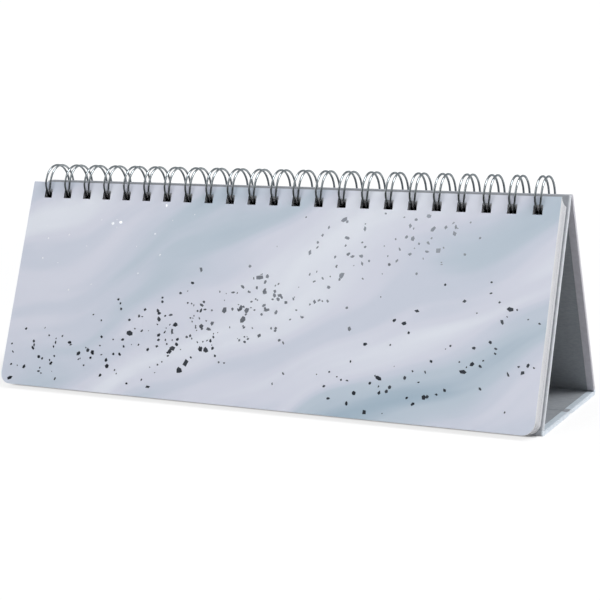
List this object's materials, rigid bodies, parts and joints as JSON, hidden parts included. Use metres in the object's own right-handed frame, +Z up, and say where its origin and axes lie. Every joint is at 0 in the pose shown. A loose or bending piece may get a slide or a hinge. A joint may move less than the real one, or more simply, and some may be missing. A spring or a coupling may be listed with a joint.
{
  "type": "weekly planner",
  "caption": "Desk planner: a wide wire-bound pad with a marbled card cover on a folding triangular easel stand of wrapped board.",
  "frame": {"origin": "centre of the bounding box's underside, on the surface the stand stands on", "axes": "+X runs along the pad's width, to the right as the pad is read; +Y runs from the pad's front to the stand's back; +Z is up"},
  "size_m": [0.3024, 0.097, 0.1162],
  "materials": {
    "greyboard": "matte",
    "silver_grey_wrap_paper": "satin",
    "grey_liner_paper": "matte",
    "bright_steel_wire": "polished",
    "printed_cover_card": "satin",
    "white_leaf_paper": "matte"
  },
  "bodies": {
    "stand_front": {"front_board": "greyboard", "front_wrap": "silver_grey_wrap_paper", "front_liner": "grey_liner_paper", "front_crease": "silver_grey_wrap_paper", "wire_binding": "bright_steel_wire"},
    "stand_back": {"back_board": "greyboard", "back_wrap": "silver_grey_wrap_paper", "back_liner": "grey_liner_paper", "rear_crease": "silver_grey_wrap_paper"},
    "base_front": {"base_front_board": "greyboard", "base_front_wrap": "silver_grey_wrap_paper", "base_front_liner": "grey_liner_paper", "base_crease": "silver_grey_wrap_paper"},
    "base_rear": {"base_rear_board": "greyboard", "base_rear_wrap": "silver_grey_wrap_paper", "base_rear_liner": "grey_liner_paper"},
    "cover": {"front_cover": "printed_cover_card"},
    "leaves_01": {"leaf_pack_01": "white_leaf_paper"},
    "leaves_02": {"leaf_pack_02": "white_leaf_paper"},
    "leaves_03": {"leaf_pack_03": "white_leaf_paper"},
    "leaves_04": {"leaf_pack_04": "white_leaf_paper"},
    "leaves_05": {"leaf_pack_05": "white_leaf_paper"},
    "leaves_06": {"leaf_pack_06": "white_leaf_paper"},
    "leaves_07": {"leaf_pack_07": "white_leaf_paper"},
    "leaves_08": {"leaf_pack_08": "white_leaf_paper"},
    "leaves_09": {"leaf_pack_09": "white_leaf_paper"},
    "leaves_10": {"leaf_pack_10": "white_leaf_paper"},
    "leaves_11": {"leaf_pack_11": "white_leaf_paper"},
    "leaves_12": {"leaf_pack_12": "white_leaf_paper"}
  },
  "joints": [
    {"name": "back_fold", "type": "hinge", "parent": "stand_front", "child": "stand_back", "pos_m": [-0.00065, 0.00155, 0.10504], "axis": [-1, 0, 0], "range_deg": [0, 15.5]},
    {"name": "base_front_fold", "type": "hinge", "parent": "stand_front", "child": "base_front", "pos_m": [0.00115, -0.03689, 0.002], "axis": [1, 0, 0], "range_deg": [0, 62], "deforming": ["front_crease", "base_crease"]},
    {"name": "base_rear_fold", "type": "hinge", "parent": "stand_back", "child": "base_rear", "pos_m": [0.00115, 0.04624, 0.002], "axis": [-1, 0, 0], "range_deg": [0, 62], "deforming": ["rear_crease"]},
    {"name": "cover_turn", "type": "hinge", "parent": "stand_front", "child": "cover", "pos_m": [-0.00065, 0.00155, 0.10504], "axis": [-1, 0, 0], "range_deg": [0, 185]},
    {"name": "leaves_turn_01", "type": "hinge", "parent": "stand_front", "child": "leaves_01", "pos_m": [-0.00065, 0.00155, 0.10504], "axis": [-1, 0, 0], "range_deg": [0, 170.81]},
    {"name": "leaves_turn_02", "type": "hinge", "parent": "stand_front", "child": "leaves_02", "pos_m": [-0.00065, 0.00155, 0.10504], "axis": [-1, 0, 0], "range_deg": [0, 156.64]},
    {"name": "leaves_turn_03", "type": "hinge", "parent": "stand_front", "child": "leaves_03", "pos_m": [-0.00065, 0.00155, 0.10504], "axis": [-1, 0, 0], "range_deg": [0, 142.45]},
    {"name": "leaves_turn_04", "type": "hinge", "parent": "stand_front", "child": "leaves_04", "pos_m": [-0.00065, 0.00155, 0.10504], "axis": [-1, 0, 0], "range_deg": [0, 128.26]},
    {"name": "leaves_turn_05", "type": "hinge", "parent": "stand_front", "child": "leaves_05", "pos_m": [-0.00065, 0.00155, 0.10504], "axis": [-1, 0, 0], "range_deg": [0, 114.09]},
    {"name": "leaves_turn_06", "type": "hinge", "parent": "stand_front", "child": "leaves_06", "pos_m": [-0.00065, 0.00155, 0.10504], "axis": [-1, 0, 0], "range_deg": [0, 99.9]},
    {"name": "leaves_turn_07", "type": "hinge", "parent": "stand_front", "child": "leaves_07", "pos_m": [-0.00065, 0.00155, 0.10504], "axis": [-1, 0, 0], "range_deg": [0, 85.71]},
    {"name": "leaves_turn_08", "type": "hinge", "parent": "stand_front", "child": "leaves_08", "pos_m": [-0.00065, 0.00155, 0.10504], "axis": [-1, 0, 0], "range_deg": [0, 71.54]},
    {"name": "leaves_turn_09", "type": "hinge", "parent": "stand_front", "child": "leaves_09", "pos_m": [-0.00065, 0.00155, 0.10504], "axis": [-1, 0, 0], "range_deg": [0, 57.35]},
    {"name": "leaves_turn_10", "type": "hinge", "parent": "stand_front", "child": "leaves_10", "pos_m": [-0.00065, 0.00155, 0.10504], "axis": [-1, 0, 0], "range_deg": [0, 43.16]},
    {"name": "leaves_turn_11", "type": "hinge", "parent": "stand_front", "child": "leaves_11", "pos_m": [-0.00065, 0.00155, 0.10504], "axis": [-1, 0, 0], "range_deg": [0, 28.99]},
    {"name": "leaves_turn_12", "type": "hinge", "parent": "stand_front", "child": "leaves_12", "pos_m": [-0.00065, 0.00155, 0.10504], "axis": [-1, 0, 0], "range_deg": [0, 14.8]}
  ],
  "couplings": [
    {"joint": "base_front_fold", "follows": "back_fold", "ratio": 4},
    {"joint": "base_rear_fold", "follows": "back_fold", "ratio": 4},
    {"joint": "leaves_turn_01", "follows": "cover_turn", "ratio": 0.9233},
    {"joint": "leaves_turn_02", "follows": "cover_turn", "ratio": 0.8467},
    {"joint": "leaves_turn_03", "follows": "cover_turn", "ratio": 0.77},
    {"joint": "leaves_turn_04", "follows": "cover_turn", "ratio": 0.6933},
    {"joint": "leaves_turn_05", "follows": "cover_turn", "ratio": 0.6167},
    {"joint": "leaves_turn_06", "follows": "cover_turn", "ratio": 0.54},
    {"joint": "leaves_turn_07", "follows": "cover_turn", "ratio": 0.4633},
    {"joint": "leaves_turn_08", "follows": "cover_turn", "ratio": 0.3867},
    {"joint": "leaves_turn_09", "follows": "cover_turn", "ratio": 0.31},
    {"joint": "leaves_turn_10", "follows": "cover_turn", "ratio": 0.2333},
    {"joint": "leaves_turn_11", "follows": "cover_turn", "ratio": 0.1567},
    {"joint": "leaves_turn_12", "follows": "cover_turn", "ratio": 0.08}
  ]
}
